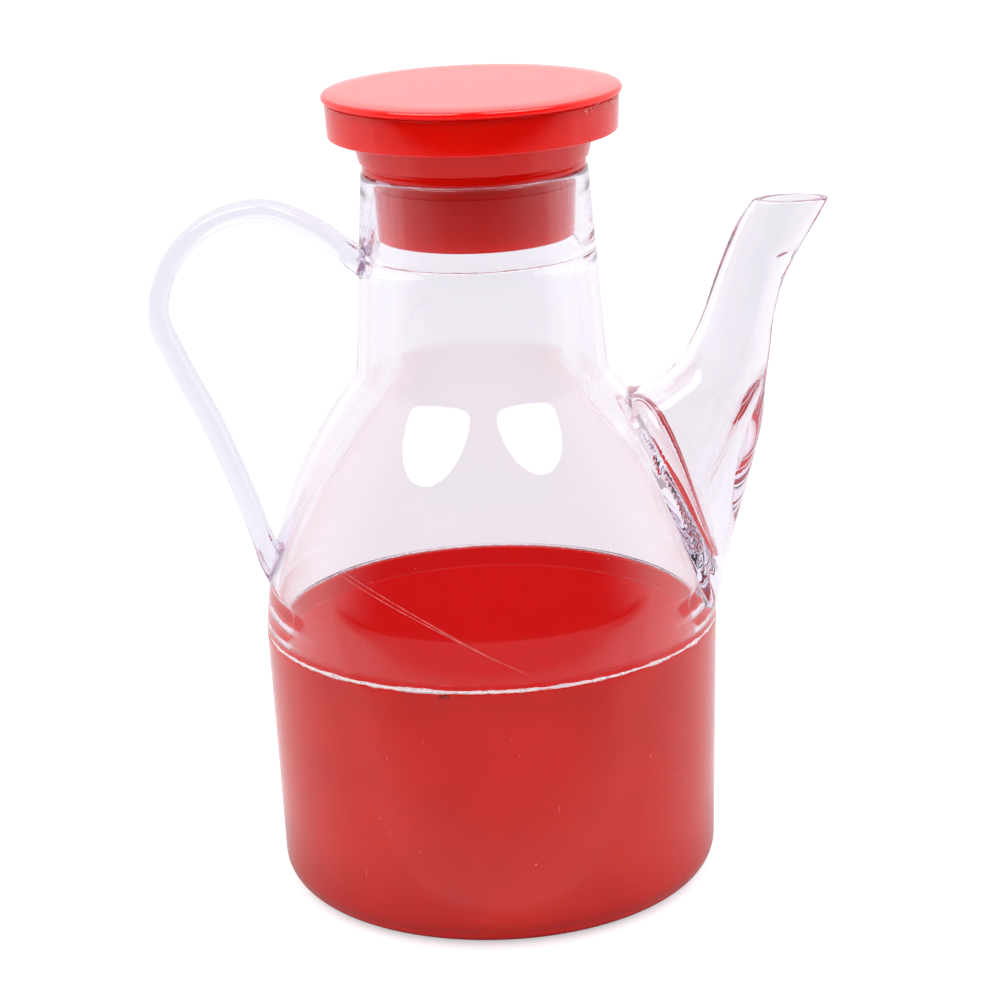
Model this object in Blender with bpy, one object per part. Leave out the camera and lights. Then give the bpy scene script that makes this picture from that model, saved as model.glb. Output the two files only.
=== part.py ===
"""Clear kitchen oil pourer with a red base cup and a red stopper that lifts out of the neck.

Metres, +Z up. The origin is the centre of the flat base, on the bottle's axis. The spout points
along +X and the handle along -X. Bonded pieces keep a small gap, so that each is its own solid.
"""

import math

import bmesh
import bpy
from mathutils import Matrix, Vector

MM = 0.001

# Joints between pieces
GAP = 0.3 * MM                 # space left between two pieces that touch

# Base cup
CUP_HEIGHT = 54.4 * MM
CUP_RIM_RADIUS = 46.0 * MM
CUP_FOOT_RADIUS = 44.8 * MM    # the side tapers in to this above the bottom corner
CUP_CORNER = 6.2 * MM
CUP_WALL = 2.0 * MM
CUP_FLOOR = 2.2 * MM
CUP_INNER_CORNER = 4.0 * MM

# Bell body
BELL_WALL = 1.8 * MM
BELL_ARC_RADIUS = 87.8 * MM    # the shoulder is one arc of this radius
BELL_ARC_DROP = 5.6 * MM       # its centre lies this far below the cup's rim
NECK_BLEND = 1.1 * MM          # how softly the shoulder turns into the neck
NECK_FOOT_RADIUS = 25.1 * MM   # the neck's cone, where the shoulder meets it
NECK_FOOT_Z = 106.0 * MM
NECK_CORNER = 3.0 * MM         # the turn into the neck lies this far either side of that height
SPIGOT_DEPTH = 4.4 * MM
SPIGOT_WALL = 1.7 * MM
SPIGOT_BLEND = 4.0 * MM        # height of the slope between the spigot's bore and the wall

# Neck collar
SEAM_Z = 131.1 * MM
SEAM_RADIUS = 23.5 * MM
RIM_Z = 147.1 * MM
RIM_RADIUS = 22.4 * MM
COLLAR_BORE = 20.7 * MM
COLLAR_CHAMFER = 1.0 * MM
COLLAR_ROUND = 0.5 * MM

# Stopper, heights from the neck's rim
PLUG_DEPTH = 13.1 * MM
PLUG_TOP_RADIUS = 20.3 * MM
PLUG_END_RADIUS = 19.7 * MM
PLUG_CORNER = 0.8 * MM
STOPPER_WALL = 1.6 * MM
LIP_RADIUS = 22.0 * MM         # narrow lip that sits on the neck
LIP_HEIGHT = 1.9 * MM
SKIRT_FOOT_RADIUS = 22.6 * MM  # the skirt widens from here up to the band
SKIRT_TOP_RADIUS = 23.9 * MM
BAND_Z = 7.2 * MM
BAND_FOOT_RADIUS = 28.5 * MM
BAND_TOP_RADIUS = 28.8 * MM
BAND_HEIGHT = 7.0 * MM
COVER_RADIUS = 29.4 * MM
COVER_TOP_RADIUS = 28.7 * MM
COVER_THICKNESS = 1.6 * MM
COVER_EDGE = 0.9 * MM          # upright part of the cover's edge, below its bevel
COVER_RING_DEPTH = 2.0 * MM
COVER_RING_WALL = 1.2 * MM

# Handle: centre line as (X, Z), section half-thickness and half-width
HANDLE_LINE = (
    (-21.5, 128.0), (-24.1, 130.0), (-32.3, 136.3), (-42.0, 140.1), (-52.4, 137.9), (-60.4, 130.6),
    (-63.7, 120.0), (-60.5, 110.3), (-54.4, 97.0), (-48.8, 82.0), (-45.3, 70.8), (-41.0, 60.5),
)
HANDLE_HALF_THICKNESS = 2.0 * MM
HANDLE_HALF_WIDTH = 3.5 * MM

# Spout: level sections as (height, back X, front X, half-width). The back of a low section lies
# inside the bell, where the bell's own shape cuts it away.
SPOUT_SECTIONS = (
    (56.0, 22.0, 46.2, 10.0), (62.0, 21.0, 47.6, 12.2), (68.0, 20.0, 49.1, 13.0),
    (80.5, 20.0, 52.7, 12.8), (91.5, 20.5, 55.6, 11.2), (97.0, 24.0, 56.4, 9.9),
    (100.5, 30.5, 56.7, 9.0), (104.5, 37.5, 57.2, 8.0), (109.0, 41.0, 57.8, 7.0),
    (115.2, 44.1, 58.6, 6.0), (122.4, 46.6, 60.6, 5.2), (129.0, 49.1, 64.0, 4.7),
    (134.3, 51.6, 67.2, 4.5), (138.6, 54.6, 69.6, 4.6),
)
CHANNEL_SECTIONS = (
    (67.0, 20.0, 44.8, 9.0), (72.0, 20.0, 45.6, 10.6), (77.0, 20.0, 46.2, 11.0),
    (84.5, 20.0, 48.0, 10.8), (92.0, 21.0, 50.8, 9.4), (97.0, 26.0, 52.8, 8.2),
    (100.5, 34.5, 54.0, 7.3), (104.5, 39.9, 55.2, 6.3), (109.0, 43.0, 56.0, 5.4),
    (115.2, 45.9, 57.0, 4.4), (122.4, 48.3, 58.6, 3.6), (126.8, 49.9, 59.8, 3.3),
    (129.0, 50.8, 62.2, 3.2), (134.3, 53.2, 65.6, 3.1), (138.6, 56.1, 68.0, 3.2),
    (140.6, 57.0, 69.0, 3.2),
)

# Facets
ROUND_SIDES = 56
STOPPER_SIDES = 48
HANDLE_SIDES = 12
HANDLE_STEPS = 36
SPOUT_SIDES = 20
SPOUT_STEPS = 2                # rings for each listed section
SHOULDER_STEPS = 8
CORNER_STEPS = 4               # rings where the shoulder meets the neck
SHARP_ANGLE = math.radians(35)


def clear_scene():
    """Remove whatever the scene holds."""
    for obj in list(bpy.context.scene.objects):
        bpy.data.objects.remove(obj, do_unlink=True)


def plastic(name, colour, roughness, alpha=1.0):
    """A moulded plastic: plain colour, gloss, and how much it hides what is behind it."""
    material = bpy.data.materials.new(name)
    material.use_nodes = True
    shader = material.node_tree.nodes["Principled BSDF"]
    shader.inputs["Base Color"].default_value = (*colour, 1.0)
    shader.inputs["Roughness"].default_value = roughness
    shader.inputs["Metallic"].default_value = 0.0
    shader.inputs["Alpha"].default_value = alpha
    material.diffuse_color = (*colour, alpha)
    return material


def add_object(name, bm, material=None):
    """Turn a bmesh into a named object whose round faces shade smooth."""
    bmesh.ops.recalc_face_normals(bm, faces=bm.faces)
    mesh = bpy.data.meshes.new(name)
    bm.to_mesh(mesh)
    bm.free()
    mesh.shade_smooth()
    mesh.set_sharp_from_angle(angle=SHARP_ANGLE)
    if material:
        mesh.materials.append(material)
    obj = bpy.data.objects.new(name, mesh)
    bpy.context.collection.objects.link(obj)
    return obj


def add_cutter(name, bm):
    """A solid that only cuts others."""
    cutter = add_object(name, bm)
    cutter.hide_render = True
    cutter.display_type = "WIRE"
    return cutter


def cut(obj, cutter):
    """Take the cutter's volume out of the object."""
    modifier = obj.modifiers.new(f"cut_{cutter.name}", "BOOLEAN")
    modifier.operation = "DIFFERENCE"
    modifier.solver = "EXACT"
    modifier.object = cutter


def arc(centre, radius, start, end, steps):
    """Points of a circular arc in the (radius, height) plane, angles in degrees."""
    angles = [math.radians(start + (end - start) * i / steps) for i in range(steps + 1)]
    return [(centre[0] + radius * math.cos(a), centre[1] + radius * math.sin(a)) for a in angles]


def turned(outline, sides):
    """Solid of revolution about Z. An outline that starts and ends on the axis closes there."""
    bm = bmesh.new()
    points = [bm.verts.new((radius, 0, height)) for radius, height in outline]
    on_axis = outline[0][0] == 0 and outline[-1][0] == 0
    ends = points[1:] if on_axis else points[1:] + points[:1]
    edges = [bm.edges.new(pair) for pair in zip(points, ends)]
    bmesh.ops.spin(
        bm,
        geom=points + edges,
        cent=(0, 0, 0),
        axis=(0, 0, 1),
        angle=math.tau,
        steps=sides,
        use_merge=True,
    )
    bmesh.ops.remove_doubles(bm, verts=bm.verts, dist=0.001 * MM)
    return bm


def lofted(rings):
    """Closed solid through rings that all have the same number of points."""
    bm = bmesh.new()
    loops = [[bm.verts.new(point) for point in ring] for ring in rings]
    for low, high in zip(loops, loops[1:]):
        for i in range(len(low)):
            j = (i + 1) % len(low)
            bm.faces.new((low[i], low[j], high[j], high[i]))
    bm.faces.new(loops[0][::-1])
    bm.faces.new(loops[-1])
    return bm


def curve_at(knots, at):
    """Smooth values through knots (place, value, value, ...) at one place, as a tuple."""
    i = max(k for k in range(len(knots) - 1) if knots[k][0] <= at or k == 0)
    here, there = knots[i], knots[i + 1]
    before = knots[max(i - 1, 0)]
    after = knots[min(i + 2, len(knots) - 1)]
    span = there[0] - here[0]
    t = min(max((at - here[0]) / span, 0.0), 1.0)
    values = []
    for k in range(1, len(here)):
        slope_here = (there[k] - before[k]) / (there[0] - before[0]) * span
        slope_there = (after[k] - here[k]) / (after[0] - here[0]) * span
        values.append(
            (2 * t**3 - 3 * t**2 + 1) * here[k]
            + (t**3 - 2 * t**2 + t) * slope_here
            + (3 * t**2 - 2 * t**3) * there[k]
            + (t**3 - t**2) * slope_there
        )
    return tuple(values)


def neck_radius(z):
    """Radius of the neck's cone at a height."""
    taper = (NECK_FOOT_RADIUS - SEAM_RADIUS) / (SEAM_Z - NECK_FOOT_Z)
    return NECK_FOOT_RADIUS - taper * (z - NECK_FOOT_Z)


def bell_radius(z, inset=0.0):
    """Radius of the bell at a height, on a surface this far inside its outer one."""
    centre_z = CUP_HEIGHT - BELL_ARC_DROP
    centre_radius = CUP_RIM_RADIUS - math.sqrt(BELL_ARC_RADIUS**2 - BELL_ARC_DROP**2)
    reach = (BELL_ARC_RADIUS - inset) ** 2 - (z - centre_z) ** 2
    shoulder = centre_radius + math.sqrt(max(reach, 0.0))
    neck = neck_radius(z) - inset
    return 0.5 * (shoulder + neck + math.hypot(shoulder - neck, NECK_BLEND))


def bell_heights(low, high):
    """Heights along the bell: even on the shoulder and the neck, close where they meet."""
    corner_low = NECK_FOOT_Z - NECK_CORNER
    corner_high = NECK_FOOT_Z + NECK_CORNER
    shoulder = [low + (corner_low - low) * i / SHOULDER_STEPS for i in range(SHOULDER_STEPS)]
    step = (corner_high - corner_low) / CORNER_STEPS
    corner = [corner_low + step * i for i in range(CORNER_STEPS + 1)]
    return shoulder + corner + [high]


def base_cup(material):
    """Open cup with a tapered side, round bottom corners and a flat base."""
    rim_bore = CUP_RIM_RADIUS - CUP_WALL
    foot_bore = CUP_FOOT_RADIUS - CUP_WALL
    outer_corner = (CUP_FOOT_RADIUS - CUP_CORNER, CUP_CORNER)
    inner_corner = (foot_bore - CUP_INNER_CORNER, CUP_FLOOR + CUP_INNER_CORNER)
    outline = [(0, 0)]
    outline += arc(outer_corner, CUP_CORNER, -90, 0, 6)
    outline += [(CUP_RIM_RADIUS, CUP_HEIGHT), (rim_bore, CUP_HEIGHT)]
    outline += arc(inner_corner, CUP_INNER_CORNER, 0, -90, 4)
    outline += [(0, CUP_FLOOR)]
    return add_object("base_cup", turned(outline, ROUND_SIDES), material)


def bell_body(material):
    """Clear bell: spigot, rounded shoulder and tapered neck, open at both ends."""
    foot = CUP_HEIGHT + GAP
    top = SEAM_Z - GAP / 2
    spigot_outer = CUP_RIM_RADIUS - CUP_WALL - GAP
    spigot_bore = spigot_outer - SPIGOT_WALL
    heights = bell_heights(foot, top)
    inner_heights = bell_heights(foot + SPIGOT_BLEND, top)
    outline = [(spigot_bore, foot - SPIGOT_DEPTH), (spigot_outer, foot - SPIGOT_DEPTH)]
    outline += [(spigot_outer, foot)]
    outline += [(bell_radius(z), z) for z in heights]
    outline += [(bell_radius(z, BELL_WALL), z) for z in reversed(inner_heights)]
    outline += [(spigot_bore, foot)]
    return add_object("bell_body", turned(outline, ROUND_SIDES), material)


def neck_collar(material):
    """Thick clear ring above the neck's bond line, with the stopper's bore."""
    foot = SEAM_Z + GAP / 2
    rim_corner = (RIM_RADIUS - COLLAR_ROUND, RIM_Z - COLLAR_ROUND)
    outline = [(COLLAR_BORE + COLLAR_CHAMFER, foot), (SEAM_RADIUS, foot)]
    outline += arc(rim_corner, COLLAR_ROUND, 0, 90, 3)
    outline += [(COLLAR_BORE, RIM_Z), (COLLAR_BORE, foot + COLLAR_CHAMFER)]
    return add_object("neck_collar", turned(outline, STOPPER_SIDES), material)


def bell_clearance():
    """The bell and collar filled solid and one gap larger, to cut what is bonded on."""
    heights = bell_heights(CUP_HEIGHT - SPIGOT_DEPTH, SEAM_Z)
    outline = [(0, heights[0])]
    outline += [(bell_radius(z, -GAP), z) for z in heights]
    outline += [(RIM_RADIUS + GAP, RIM_Z), (0, RIM_Z)]
    return add_cutter("bell_clearance", turned(outline, ROUND_SIDES))


def handle(material, clearance):
    """Oval rod along the handle's centre line, its ends cut to the bell and the neck."""
    knots = []
    length = 0.0
    for i, (x, z) in enumerate(HANDLE_LINE):
        if i:
            length += math.dist(HANDLE_LINE[i - 1], (x, z))
        knots.append((length, x * MM, z * MM))
    line = []
    for i in range(HANDLE_STEPS + 1):
        x, z = curve_at(knots, length * i / HANDLE_STEPS)
        line.append(Vector((x, 0, z)))
    rings = []
    for i, centre in enumerate(line):
        along = (line[min(i + 1, HANDLE_STEPS)] - line[max(i - 1, 0)]).normalized()
        across = along.cross(Vector((0, 1, 0)))
        ring = []
        for k in range(HANDLE_SIDES):
            angle = math.tau * k / HANDLE_SIDES
            offset = across * (HANDLE_HALF_THICKNESS * math.cos(angle))
            ring.append(centre + offset + Vector((0, HANDLE_HALF_WIDTH * math.sin(angle), 0)))
        rings.append(ring)
    obj = add_object("handle", lofted(rings), material)
    cut(obj, clearance)
    return obj


def level_sections(sections):
    """Oval rings through a table of level sections, closest where its heights are."""
    knots = [tuple(value * MM for value in section) for section in sections]
    heights = [knots[0][0]]
    for low, high in zip(knots, knots[1:]):
        heights += [low[0] + (high[0] - low[0]) * (i + 1) / SPOUT_STEPS for i in range(SPOUT_STEPS)]
    rings = []
    for z in heights:
        back, front, half_width = curve_at(knots, z)
        centre = 0.5 * (back + front)
        ring = []
        for k in range(SPOUT_SIDES):
            angle = math.tau * k / SPOUT_SIDES
            x = centre + (front - centre) * math.cos(angle)
            ring.append(Vector((x, half_width * math.sin(angle), z)))
        rings.append(ring)
    return rings


def spout_channel():
    """The oil's way from the bell to the mouth."""
    return add_cutter("spout_channel", lofted(level_sections(CHANNEL_SECTIONS)))


def spout(material, clearance, channel):
    """Tapered hollow spout with a level mouth, its root cut to the bell's shoulder."""
    obj = add_object("spout", lofted(level_sections(SPOUT_SECTIONS)), material)
    cut(obj, clearance)
    cut(obj, channel)
    return obj


def stopper_body(material, axis):
    """Hollow plug, conical skirt that sits on the neck, and wide band, open at the top."""
    seat = GAP
    plug_corner = (PLUG_END_RADIUS - PLUG_CORNER, PLUG_CORNER - PLUG_DEPTH)
    band_top = BAND_Z + BAND_HEIGHT
    outline = [(0, -PLUG_DEPTH)]
    outline += arc(plug_corner, PLUG_CORNER, -90, 0, 3)
    outline += [
        (PLUG_TOP_RADIUS, seat),
        (LIP_RADIUS, seat),
        (LIP_RADIUS, seat + LIP_HEIGHT),
        (SKIRT_FOOT_RADIUS, seat + LIP_HEIGHT),
        (SKIRT_TOP_RADIUS, BAND_Z),
        (BAND_FOOT_RADIUS, BAND_Z),
        (BAND_TOP_RADIUS, band_top),
        (BAND_TOP_RADIUS - STOPPER_WALL, band_top),
        (BAND_FOOT_RADIUS - STOPPER_WALL, BAND_Z + STOPPER_WALL),
        (SKIRT_TOP_RADIUS - STOPPER_WALL, BAND_Z + STOPPER_WALL),
        (PLUG_TOP_RADIUS - STOPPER_WALL, seat + STOPPER_WALL),
        (PLUG_END_RADIUS - STOPPER_WALL, STOPPER_WALL - PLUG_DEPTH),
        (0, STOPPER_WALL - PLUG_DEPTH),
    ]
    obj = add_object("stopper_body", turned(outline, STOPPER_SIDES), material)
    obj.parent = axis
    return obj


def stopper_cover(material, axis):
    """Disc that closes the stopper, with a ring below it that centres it in the band."""
    foot = BAND_Z + BAND_HEIGHT + GAP
    top = foot + COVER_THICKNESS
    ring_outer = BAND_FOOT_RADIUS - STOPPER_WALL - GAP
    ring_inner = ring_outer - COVER_RING_WALL
    outline = [
        (0, foot),
        (ring_inner, foot),
        (ring_inner, foot - COVER_RING_DEPTH),
        (ring_outer, foot - COVER_RING_DEPTH),
        (ring_outer, foot),
        (COVER_RADIUS, foot),
        (COVER_RADIUS, foot + COVER_EDGE),
        (COVER_TOP_RADIUS, top),
        (0, top),
    ]
    obj = add_object("stopper_cover", turned(outline, STOPPER_SIDES), material)
    obj.parent = axis
    return obj


def stopper_axis():
    """Empty on the bottle's axis at the neck's rim: the stopper slides along its Z."""
    axis = bpy.data.objects.new("stopper_axis", None)
    axis.matrix_world = Matrix.Translation((0, 0, RIM_Z))
    bpy.context.collection.objects.link(axis)
    return axis


def build():
    """Make every piece of the pourer."""
    clear_scene()
    red = plastic("red_plastic", (0.62, 0.012, 0.008), 0.28)
    clear = plastic("clear_plastic", (0.93, 0.92, 0.96), 0.05, alpha=0.3)
    clearance = bell_clearance()
    channel = spout_channel()
    base_cup(red)
    cut(bell_body(clear), channel)
    neck_collar(clear)
    handle(clear, clearance)
    spout(clear, clearance, channel)
    axis = stopper_axis()
    stopper_body(red, axis)
    stopper_cover(red, axis)


build()
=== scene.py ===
"""Looks of the oil pourer: clear bell, neck, handle and spout on a red cup, with a red stopper."""

import math
import random

import bmesh
import bpy
from mathutils import Matrix, Vector, noise


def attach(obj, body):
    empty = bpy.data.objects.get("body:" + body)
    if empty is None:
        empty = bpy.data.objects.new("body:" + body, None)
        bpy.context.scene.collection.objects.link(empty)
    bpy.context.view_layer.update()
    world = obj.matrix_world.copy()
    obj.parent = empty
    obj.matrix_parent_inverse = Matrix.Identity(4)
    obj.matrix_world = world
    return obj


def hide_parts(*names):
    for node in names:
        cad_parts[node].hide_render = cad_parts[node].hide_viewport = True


MM = 0.001
GAP = 0.3 * MM

# Base cup
CUP_HEIGHT = 54.4 * MM
CUP_RIM_RADIUS = 46.0 * MM
CUP_FOOT_RADIUS = 44.8 * MM
CUP_CORNER = 6.2 * MM
CUP_WALL = 2.0 * MM
CUP_FLOOR = 2.2 * MM
CUP_INNER_CORNER = 4.0 * MM
CUP_RIM_ROUND = 0.35 * MM
CUP_RIM_EASE = 0.2 * MM
FOOT_RECESS_RADIUS = 30.0 * MM
FOOT_RECESS_DEPTH = 0.5 * MM
FOOT_RING_RADIUS = 31.5 * MM  # where the cup begins to stand on the table
GATE_FOOT_RADIUS = 1.6 * MM   # small moulding mark in the middle of the cup's floor
GATE_TOP_RADIUS = 1.3 * MM
GATE_HEIGHT = 0.25 * MM

# Bell body
BELL_WALL = 1.8 * MM
BELL_ARC_RADIUS = 87.8 * MM
BELL_ARC_DROP = 5.6 * MM
NECK_BLEND = 1.1 * MM
NECK_FOOT_RADIUS = 25.1 * MM
NECK_FOOT_Z = 106.0 * MM
SPIGOT_DEPTH = 4.4 * MM
SPIGOT_LEAN = 0.9 * MM        # how far the spigot's bore is inside the cup's
SPIGOT_BLEND = 0.12 * MM      # how softly the spigot's bore turns into the bell's
SPIGOT_BOND = 0.2 * MM        # how far the spigot reaches into the cup's wall
SHELL_FOOT_BOND = 0.15 * MM   # how far the shell's foot sinks into the cup's rim
SHELL_FOOT_ROUND = 0.6 * MM
SHELL_FOOT_BEVEL = 0.35 * MM
CORE_INSET = 0.9 * MM         # how far the handle and the spout reach into the bell's wall

# Neck collar
SEAM_Z = 131.1 * MM
SEAM_RADIUS = 23.5 * MM
SEAM_GROOVE_HALF = 0.15 * MM
SEAM_GROOVE_DEPTH = 0.12 * MM
RIM_Z = 147.1 * MM
RIM_RADIUS = 22.4 * MM
COLLAR_BORE = 20.7 * MM
COLLAR_CHAMFER = 1.0 * MM
COLLAR_SLOPE = 5.0 * MM       # height over which the neck's bore narrows to the collar's
COLLAR_ROUND = 0.5 * MM
COLLAR_BORE_ROUND = 0.3 * MM

# Stopper, heights from the neck's rim
PLUG_DEPTH = 13.1 * MM
PLUG_TOP_RADIUS = 20.3 * MM
PLUG_END_RADIUS = 19.7 * MM
PLUG_CORNER = 0.8 * MM
PLUG_DISH_RADIUS = 12.0 * MM
PLUG_DISH_EDGE = 12.6 * MM
PLUG_DISH_DEPTH = 0.3 * MM
PLUG_STEP = 0.12 * MM         # how much thinner the plug is just below its groove
PLUG_GROOVE_DROP = 2.6 * MM
PLUG_GROOVE_DEPTH = 0.32 * MM
PLUG_GROOVE_HEIGHT = 0.36 * MM
STOPPER_WALL = 1.6 * MM
LIP_RADIUS = 22.0 * MM
LIP_HEIGHT = 1.9 * MM
LIP_GROOVE_Z = 0.95 * MM
LIP_GROOVE_HALF = 0.2 * MM
LIP_GROOVE_DEPTH = 0.18 * MM
SKIRT_FOOT_RADIUS = 22.6 * MM
SKIRT_TOP_RADIUS = 23.9 * MM
BAND_Z = 7.2 * MM
BAND_FOOT_RADIUS = 28.5 * MM
BAND_TOP_RADIUS = 28.8 * MM
BAND_HEIGHT = 7.0 * MM
COVER_RADIUS = 29.4 * MM
COVER_TOP_RADIUS = 28.7 * MM
COVER_THICKNESS = 1.6 * MM
COVER_ROUND = 0.75 * MM
COVER_CROWN = 4.5 * MM        # how far in from its edge the cover's top begins to fall
COVER_FALL = 0.28 * MM        # and how far it falls
COVER_DISH = 0.08 * MM
COVER_SEAT_GAP = 0.02 * MM
COVER_SEAT_INSET = 0.2 * MM
COVER_UNDERCUT = 0.05 * MM    # how far past the band the cover's underside turns up
COVER_FOOT_BEVEL = 0.12 * MM
COVER_RING_DEPTH = 2.0 * MM
COVER_RING_WALL = 1.2 * MM

# Handle: centre line as (X, Z), section half-thickness and half-width
HANDLE_LINE = (
    (-21.5, 128.0), (-24.1, 130.0), (-32.3, 136.3), (-42.0, 140.1), (-52.4, 137.9), (-60.4, 130.6),
    (-63.7, 120.0), (-60.5, 110.3), (-54.4, 97.0), (-48.8, 82.0), (-45.3, 70.8), (-41.0, 60.5),
)
HANDLE_HALF_THICKNESS = 2.0 * MM
HANDLE_HALF_WIDTH = 3.5 * MM
HANDLE_SQUARE = 0.55          # 1 is an oval section, less is nearer a box with round corners
HANDLE_SWELL = 0.22           # how much thicker it gets where it is bonded on
HANDLE_SWELL_REACH = 2.2 * MM

# Spout: level sections as (height, back X, front X, half-width)
SPOUT_SECTIONS = (
    (56.0, 22.0, 46.2, 10.0), (62.0, 21.0, 47.6, 12.2), (68.0, 20.0, 49.1, 13.0),
    (80.5, 20.0, 52.7, 12.8), (91.5, 20.5, 55.6, 11.2), (97.0, 24.0, 56.4, 9.9),
    (100.5, 30.5, 56.7, 9.0), (104.5, 37.5, 57.2, 8.0), (109.0, 41.0, 57.8, 7.0),
    (115.2, 44.1, 58.6, 6.0), (122.4, 46.6, 60.6, 5.2), (129.0, 49.1, 64.0, 4.7),
    (134.3, 51.6, 67.2, 4.5), (138.6, 54.6, 69.6, 4.6),
)
CHANNEL_SECTIONS = (
    (67.0, 20.0, 44.8, 9.0), (72.0, 20.0, 45.6, 10.6), (77.0, 20.0, 46.2, 11.0),
    (84.5, 20.0, 48.0, 10.8), (92.0, 21.0, 50.8, 9.4), (97.0, 26.0, 52.8, 8.2),
    (100.5, 34.5, 54.0, 7.3), (104.5, 39.9, 55.2, 6.3), (109.0, 43.0, 56.0, 5.4),
    (115.2, 45.9, 57.0, 4.4), (122.4, 48.3, 58.6, 3.6), (126.8, 49.9, 59.8, 3.3),
    (129.0, 50.8, 62.2, 3.2), (134.3, 53.2, 65.6, 3.1), (138.6, 56.1, 68.0, 3.2),
    (140.6, 57.0, 69.0, 3.2),
)
FLARE_WIDTH = 5.5 * MM        # how far the spout's root spreads where it is bonded to the bell
FLARE_REACH = 1.5 * MM        # how far from the bell that spread reaches
FLARE_SIDE = 6.0 * MM         # it spreads fully this far from the spout's middle
MOUTH_ROUND = 0.45 * MM       # rounding of the spout's mouth

# Scratches on the bell's front, each as (X, Z, X, Z) in mm
SCRATCH_RUNS = ((-30.5, 75.0, 7.0, 57.4), (-29.4, 75.6, 1.0, 60.4))
SCRATCH_WIDTH = 0.034 * MM
SCRATCH_BOW = 0.8             # how far a scratch bows upwards, in mm

# Mesh fineness
SIDES = 192
SECTION_SIDES = 160
SPOUT_RINGS = 9               # rings for each listed section
MOUTH_STEPS = 6
HANDLE_SIDES = 48
HANDLE_STEPS = 260
BEAD_SIDES = 720
BEAD_SECTION = 10
SCRATCH_STEPS = 90
SCRATCH_SECTION = 6
CORNER_STEPS = 6
SHARP_ANGLE = math.radians(32)

# Camera, from its place and turn about the object
CAMERA_PLACE = Vector((0.0, -0.5722, 0.2560))
CAMERA_PITCH = math.radians(17.22)
CAMERA_YAW = math.radians(0.26)
CAMERA_ROLL = math.radians(-2.18)
CAMERA_LENS = 106.3

# Red plastic; the inside reds are painted light, brighter copies for the parts seen through clear
# plastic
CUP_RED = (0.49, 0.007, 0.002)
CUP_RED_PAINTED_LIGHT = (0.68, 0.006, 0.002)
LID_RED = (0.94, 0.004, 0.001)
LID_RED_PAINTED_LIGHT = (0.97, 0.008, 0.002)
COVER_RED = (0.88, 0.005, 0.002)
TORN_RED = (0.92, 0.20, 0.18)
WORN_RED = (0.93, 0.42, 0.38, 1)

# Clear plastic: its tint face on, the painted shade it takes towards its edges, and the tint and
# strength of what it absorbs, which shows where the light runs along the wall
CLEAR_TINT = (0.98, 0.975, 1.0)
CLEAR_EDGE_SHADE = (0.90, 0.78, 0.84)
CLEAR_DEPTH_TINT = (0.80, 0.70, 0.86)
CLEAR_DENSITY = 20.0
CLEAR_ROUGHNESS = 0.02
# The handle's edge tint, stronger and starting further in, is painted shade for the darker
# surroundings the solid rod refracts.
HANDLE_TINT = (0.965, 0.96, 0.995)
HANDLE_EDGE_SHADE = (0.66, 0.64, 0.74)
HANDLE_DEPTH_TINT = (0.70, 0.69, 0.98)
HANDLE_DENSITY = 22.0

# Dried bond, whose white bead along the cup's front seam is partly a painted highlight, and
# scratches
BOND_AND_HIGHLIGHT_COLOUR = (0.95, 0.90, 0.93)
BOND_LINE_COLOUR = (0.50, 0.10, 0.14)
SCRATCH_COLOUR = (0.92, 0.50, 0.46)

# Light
ROOM_LIGHT = 1.12
ROOM_INNER = 0.12             # least light in what is reflected inside the clear walls
ROOM_DEEP = 0.45              # and more where it is reflected there again and again
ROOM_DARK = 0.12
ROOM_FADE = (-0.55, 0.25)     # the room turns from dark to white between these Y directions
ROOM_COLOUR = (0.99, 0.985, 1.0, 1)
ROOM_DARK_COLOUR = (1.0, 0.66, 0.80, 1)
FLOOR_LIGHT = 0.66            # light the floor gives to the pieces
FLOOR_SEEN = 0.98             # and to the camera
FLOOR_SIZE = 4.0
SHEET_EDGE = -0.06            # Y where the dark sheet ends, in front of the pourer
SHEET_COLOUR = (1.0, 0.93, 0.96, 1)
SHEET_NEAR = (-0.12, -0.06, 0.7, 1.15)  # each as Y from, Y to, light from, light to
SHEET_FAR = (-0.50, -0.18, 0.04, 1.0)
LIGHT_AIM = Vector((0, 0, 0.1))
SOFTBOXES = (("softbox_left", -53.0, 56.0, 0.64), ("softbox_right", 51.0, 58.0, 0.62))
SOFTBOX_DISTANCE = 0.85
SOFTBOX_RADIANCE = 5.6
FILL_ELEVATION = 4.0
FILL_DISTANCE = 0.9
FILL_SIZE = 0.9
FILL_RADIANCE = 1.5


# ---------------------------------------------------------------- shapes

def arc(centre, radius, start, end, steps):
    """Points of an arc in the (radius, height) plane, angles in degrees."""
    points = []
    for i in range(steps + 1):
        angle = math.radians(start + (end - start) * i / steps)
        points.append((centre[0] + radius * math.cos(angle), centre[1] + radius * math.sin(angle)))
    return points


def rounded(outline, radii):
    """The outline with its listed corners rounded: radii is {index: radius}."""
    points = []
    for i, corner in enumerate(outline):
        if i not in radii:
            points.append(corner)
            continue
        here = Vector(corner)
        before = Vector(outline[i - 1]) - here
        after = Vector(outline[(i + 1) % len(outline)]) - here
        half = before.angle(after) / 2
        reach = min(radii[i] / math.tan(half), 0.49 * before.length, 0.49 * after.length)
        start = here + before.normalized() * reach
        end = here + after.normalized() * reach
        for k in range(CORNER_STEPS + 1):
            t = k / CORNER_STEPS
            bend = (1 - t) ** 2 * start + 2 * t * (1 - t) * here + t**2 * end
            points.append((bend.x, bend.y))
    return points


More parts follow.
